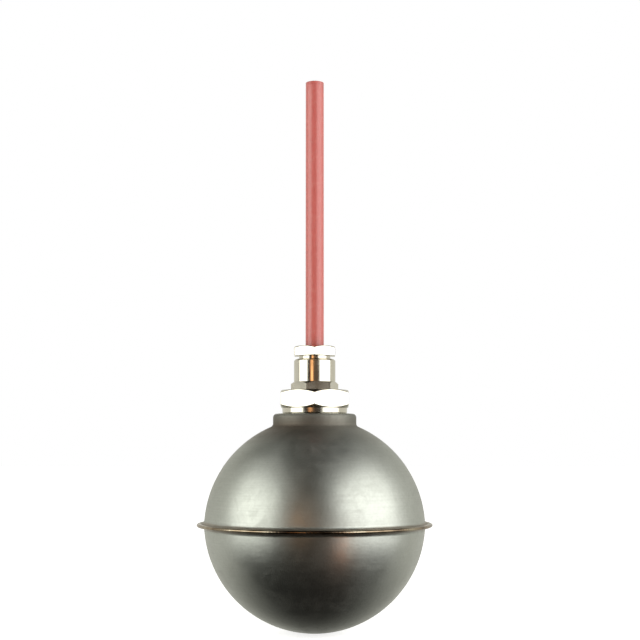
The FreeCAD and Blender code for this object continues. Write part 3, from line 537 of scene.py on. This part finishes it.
# Salmon red rubber: satin, with pale dust on it that greys its edges.
jacket_skin, tree, shader = surface("satin silicone rubber", IOR=1.5, Specular_IOR_Level=0.7,
                                    Sheen_Weight=0.15, Sheen_Roughness=0.45,
                                    Subsurface_Weight=0.1, Subsurface_Scale=1.2 * MM)
shader.inputs["Subsurface Radius"].default_value = (1.0, 0.35, 0.25)
place = add(tree, "TexCoord").outputs["Object"]
spread = add(tree, "Mapping", {0: place, 3: (1 / DRAW_LINE, 1 / DRAW_LINE, 1 / (60 * MM))})
lines = add(tree, "TexNoise", {"Vector": spread.outputs[0], "Scale": 1.0, "Detail": 2.0})
dust = add(tree, "TexNoise", {"Vector": place, "Scale": 1 / DUST_SIZE, "Detail": 5.0,
                              "Roughness": 0.7})
speck = add(tree, "MapRange", {0: dust.outputs[0], 1: 0.5, 2: 0.78, 3: 0.0, 4: 0.3})
tone = add(tree, "Mix", {0: lines.outputs[0], 6: linear("#a6504a"), 7: linear("#ad554f")},
           data_type="RGBA")
dusty = add(tree, "Mix", {0: speck.outputs[0], 6: tone.outputs[2], 7: linear("#b98780")},
            data_type="RGBA")
tree.links.new(dusty.outputs[2], shader.inputs["Base Color"])
rough = add(tree, "MapRange", {0: dust.outputs[0], 1: 0.3, 2: 0.7, 3: 0.28, 4: 0.36})
tree.links.new(rough.outputs[0], shader.inputs["Roughness"])
bump = add(tree, "Bump", {"Strength": 0.25, "Distance": 0.02 * MM, "Height": lines.outputs[0]})
tree.links.new(bump.outputs[0], shader.inputs["Normal"])

profile = [(CABLE_RADIUS, CABLE_START + step * CABLE_RING)
           for step in range(round((CABLE_END - CABLE_START) / CABLE_RING))]
profile += [(CABLE_RADIUS, CABLE_END - CUT_ROUND),
            (CABLE_RADIUS - CUT_SLOPE, CABLE_END - CUT_SLOPE),
            (CABLE_RADIUS - CUT_ROUND, CABLE_END), (JACKET_BORE + CUT_ROUND, CABLE_END),
            (JACKET_BORE, CABLE_END - CUT_ROUND), (JACKET_BORE, CABLE_START)]
jacket = piece("cable_jacket", *swept(profile, CABLE_STEPS), jacket_skin, 50)
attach(jacket, "float")
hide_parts("cable")


# ---- Cores and their copper strands ----------------------------------------------------------
# Three insulated cores lie in the jacket and are cut flush with it: brown, blue and black
# silicone round nineteen fine copper strands each, which show at the cut.

CORE_CIRCLE = 1.345 * MM
CORE_BEARINGS = {"core_common": 330, "core_open": 90, "core_closed": 210}
STRAND_RADIUS = 0.1 * MM
STRAND_RINGS = ((2.1 * STRAND_RADIUS, 6), (4.15 * STRAND_RADIUS, 12))
STRAND_SIDES = 10
STRAND_PROUD = 0.03 * MM        # the shears leave the copper a hair above the rubber
STRAND_DEPTH = 1.0 * MM
BARE_TIP = 1.0 * MM             # stripped end of each core, in its terminal


def insulated(name, first, second, node):
    """Satin insulation over a core, with the stripped copper tip at its lower end."""
    made = grained(name, first, second, grain=(0.5, 0.5, 8), rough=(0.4, 0.52), depth=0.01,
                   ior=1.43)
    tree = made.node_tree
    shader = tree.nodes["Principled BSDF"]
    place = add(tree, "TexCoord").outputs["Object"]
    parts = add(tree, "SeparateXYZ", {0: place})
    bare = add(tree, "Math", {0: parts.outputs[2], 1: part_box(node)[0].z + BARE_TIP},
               operation="LESS_THAN")
    skin = shader.inputs["Base Color"].links[0].from_socket
    tone = add(tree, "Mix", {0: bare.outputs[0], 6: skin, 7: linear("#d98a68")}, data_type="RGBA")
    tree.links.new(tone.outputs[2], shader.inputs["Base Color"])
    tree.links.new(bare.outputs[0], shader.inputs["Metallic"])
    dress(made, node)


# Silicone insulation: satin and soft, in the three colours of the cores.
insulated("brown silicone", "#5b3523", "#6a4230", "core_common")
insulated("blue silicone", "#2d5a9c", "#3a68a8", "core_open")
insulated("black silicone", "#1e1e1f", "#2a2a2b", "core_closed")
# Freshly cut soft copper: salmon pink and bright.
copper = grained("cut copper", "#d98a68", "#c9734f", grain=(0.1, 0.1, 0.1), rough=(0.25, 0.4),
                 depth=0.003, metallic=1.0)

strands = []
for core, bearing in CORE_BEARINGS.items():
    turn = math.radians(bearing)
    middle = (CORE_CIRCLE * math.cos(turn), CORE_CIRCLE * math.sin(turn))
    spots = [middle]
    for ring_radius, count in STRAND_RINGS:
        spots += [(middle[0] + ring_radius * math.cos(2 * math.pi * i / count),
                   middle[1] + ring_radius * math.sin(2 * math.pi * i / count))
                  for i in range(count)]
    points, faces = [], []
    for x, y in spots:
        start = len(points)
        for radius, z in ((STRAND_RADIUS, CABLE_END - STRAND_DEPTH),
                          (STRAND_RADIUS, CABLE_END + 0.5 * STRAND_PROUD),
                          (0.7 * STRAND_RADIUS, CABLE_END + STRAND_PROUD)):
            points += [(x + radius * math.cos(2 * math.pi * i / STRAND_SIDES),
                        y + radius * math.sin(2 * math.pi * i / STRAND_SIDES), z)
                       for i in range(STRAND_SIDES)]
        for low in (start, start + STRAND_SIDES):
            high = low + STRAND_SIDES
            for i in range(STRAND_SIDES):
                after = (i + 1) % STRAND_SIDES
                faces.append((low + i, low + after, high + after, high + i))
        faces.append(tuple(range(start + 2 * STRAND_SIDES, start + 3 * STRAND_SIDES)))
        faces.append(tuple(range(start + STRAND_SIDES - 1, start - 1, -1)))
    strands.append(piece(core + "_strands", points, faces, copper, 50))
    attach(strands[-1], "float")


# ---- Studio ----------------------------------------------------------------------------------
# A white room: a pale floor that the float rests on, which glows with painted light, two tall soft
# boxes at the sides, a grey wall behind, and darkness over and under, which the steel reflects.
# Three small cards in front put copper and brown tones into the metal.

WALL_GLOW = 0.74
FRONT_GLOW = 0.02
ROOM_GLOW = 0.006
FLOOR_NEAR = 0.12               # within this distance of the float the floor's painted glow is weakest, so its shadow shows
FLOOR_FAR = 0.9
FLOOR_REACH = 4.0
BOX_DISTANCE = 1.0
CAMERA_PLACE = (0.00237, -0.56, -0.04356)
CAMERA_TILT = 3.74              # degrees upwards
CAMERA_LENS, CAMERA_SENSOR, CAMERA_SHIFT = 70.5, 36.0, 42 / 640

floor_z = cad_box[0][2]
floor_mesh = bpy.data.meshes.new("floor")
floor_mesh.from_pydata([(FLOOR_REACH * x, FLOOR_REACH * y, floor_z)
                        for x, y in ((-1, -1), (1, -1), (1, 1), (-1, 1))], [], [(0, 1, 2, 3)])
floor = bpy.data.objects.new("floor", floor_mesh)
bpy.context.scene.collection.objects.link(floor)
floor_paint, tree, shader = surface("pale glowing floor", Roughness=0.9)
shader.inputs["Base Color"].default_value = linear("#f4f4f2")
shader.inputs["Emission Color"].default_value = linear("#ffffff")
out = add(tree, "VectorMath", {0: add(tree, "TexCoord").outputs["Object"]}, operation="LENGTH")
# The floor glows, a painted light: three quarters as strongly round the float as from FLOOR_FAR
# out, so it is white far off and darker near the float.
floor_glow = add(tree, "MapRange", {0: out.outputs["Value"], 1: FLOOR_NEAR, 2: FLOOR_FAR, 3: 0.75, 4: 1.0})
tree.links.new(floor_glow.outputs[0], shader.inputs["Emission Strength"])
floor_mesh.materials.append(floor_paint)
floor.visible_glossy = False
floor.visible_shadow = False

world = bpy.data.worlds.new("studio")
world.use_nodes = True
bpy.context.scene.world = world
tree = world.node_tree
tree.nodes.clear()
# The mid grey wall lies behind the float, and fades out above, below and on the camera's side.
# The camera itself sees plain white.
heading = add(tree, "TexCoord").outputs["Generated"]
axes = add(tree, "SeparateXYZ", {0: heading})
behind = add(tree, "MapRange", {0: axes.outputs[1], 1: -0.15, 2: 0.35, 3: 0.0, 4: 1.0},
             interpolation_type="SMOOTHSTEP")
over = add(tree, "MapRange", {0: axes.outputs[2], 1: 0.3, 2: 0.9, 3: 1.0, 4: 0.0},
           interpolation_type="SMOOTHSTEP")
under = add(tree, "MapRange", {0: axes.outputs[2], 1: -0.3, 2: -0.92, 3: 1.0, 4: 0.0})
band = add(tree, "Math", {0: over.outputs[0], 1: under.outputs[0]}, operation="MULTIPLY")
strength = add(tree, "MapRange", {0: behind.outputs[0], 3: FRONT_GLOW, 4: WALL_GLOW})
glow = add(tree, "Math", {0: strength.outputs[0], 1: band.outputs[0], 2: ROOM_GLOW},
           operation="MULTIPLY_ADD")
seen = add(tree, "LightPath")
room = add(tree, "Background", {0: linear("#fbfaf0"), 1: glow.outputs[0]})
white = add(tree, "Background", {0: (1, 1, 1, 1), 1: 1.0})
both = add(tree, "MixShader", {0: seen.outputs["Is Camera Ray"], 1: room.outputs[0],
                               2: white.outputs[0]})
add(tree, "OutputWorld", {0: both.outputs[0]})


def soft_box(name, azimuth, elevation, width, tall, glow, colour, edge):
    """A lamp panel that faces the float, dimmer towards its edges.

    Azimuth is in degrees from the camera's side to the right, and edge the share that fades.
    """
    data = bpy.data.lights.new(name, "AREA")
    data.shape, data.size, data.size_y = "RECTANGLE", width, tall
    data.energy = glow * width * tall
    data.color = linear(colour)[:3]
    data.use_nodes = True
    tree = data.node_tree
    spot = add(tree, "NewGeometry").outputs["Parametric"]
    middle = add(tree, "VectorMath", {0: spot, 1: (0.5, 0.5, 0.0)}, operation="SUBTRACT")
    size = add(tree, "VectorMath", {0: middle.outputs[0]}, operation="ABSOLUTE")
    sides = add(tree, "SeparateXYZ", {0: size.outputs[0]})
    fades = [add(tree, "MapRange", {0: sides.outputs[i], 1: 0.5 - edge / 2, 2: 0.5, 3: 1.0, 4: 0.0},
                 interpolation_type="SMOOTHSTEP").outputs[0] for i in (0, 1)]
    even = add(tree, "Math", {0: fades[0], 1: fades[1]}, operation="MULTIPLY")
    tree.links.new(even.outputs[0], tree.nodes["Emission"].inputs["Strength"])
    lamp = bpy.data.objects.new(name, data)
    a, e = math.radians(azimuth), math.radians(elevation)
    out = Vector((math.sin(a) * math.cos(e), -math.cos(a) * math.cos(e), math.sin(e)))
    lamp.location = Vector((0, 0, SEAM_Z)) + BOX_DISTANCE * out
    lamp.rotation_euler = out.to_track_quat("Z", "Y").to_euler()
    lamp.visible_camera = False
    bpy.context.scene.collection.objects.link(lamp)


soft_box("left_box", azimuth=-67, elevation=14.5, width=1.1, tall=1.18, glow=9.0,
         colour="#fdfef8", edge=0.3)
soft_box("right_box", azimuth=61, elevation=17, width=1.6, tall=1.55, glow=8.9,
         colour="#fffffc", edge=0.4)
soft_box("warm_card", azimuth=-15, elevation=6, width=0.36, tall=0.36, glow=7.4,
         colour="#ffb97c", edge=0.8)
soft_box("brown_card", azimuth=2, elevation=9, width=0.95, tall=0.34, glow=0.6,
         colour="#cba27a", edge=0.5)
soft_box("low_warm_card", azimuth=30, elevation=-22, width=0.16, tall=0.16, glow=17.0,
         colour="#ff9d62", edge=0.6)

camera_data = bpy.data.cameras.new("camera")
camera_data.lens, camera_data.sensor_width = CAMERA_LENS, CAMERA_SENSOR
camera_data.shift_y = CAMERA_SHIFT
camera_data.clip_start = 0.01
camera = bpy.data.objects.new("camera", camera_data)
camera.location = CAMERA_PLACE
camera.rotation_euler = (math.radians(90 + CAMERA_TILT), 0, 0)
bpy.context.scene.collection.objects.link(camera)
bpy.context.scene.camera = camera
bpy.context.scene.view_settings.view_transform = "Standard"
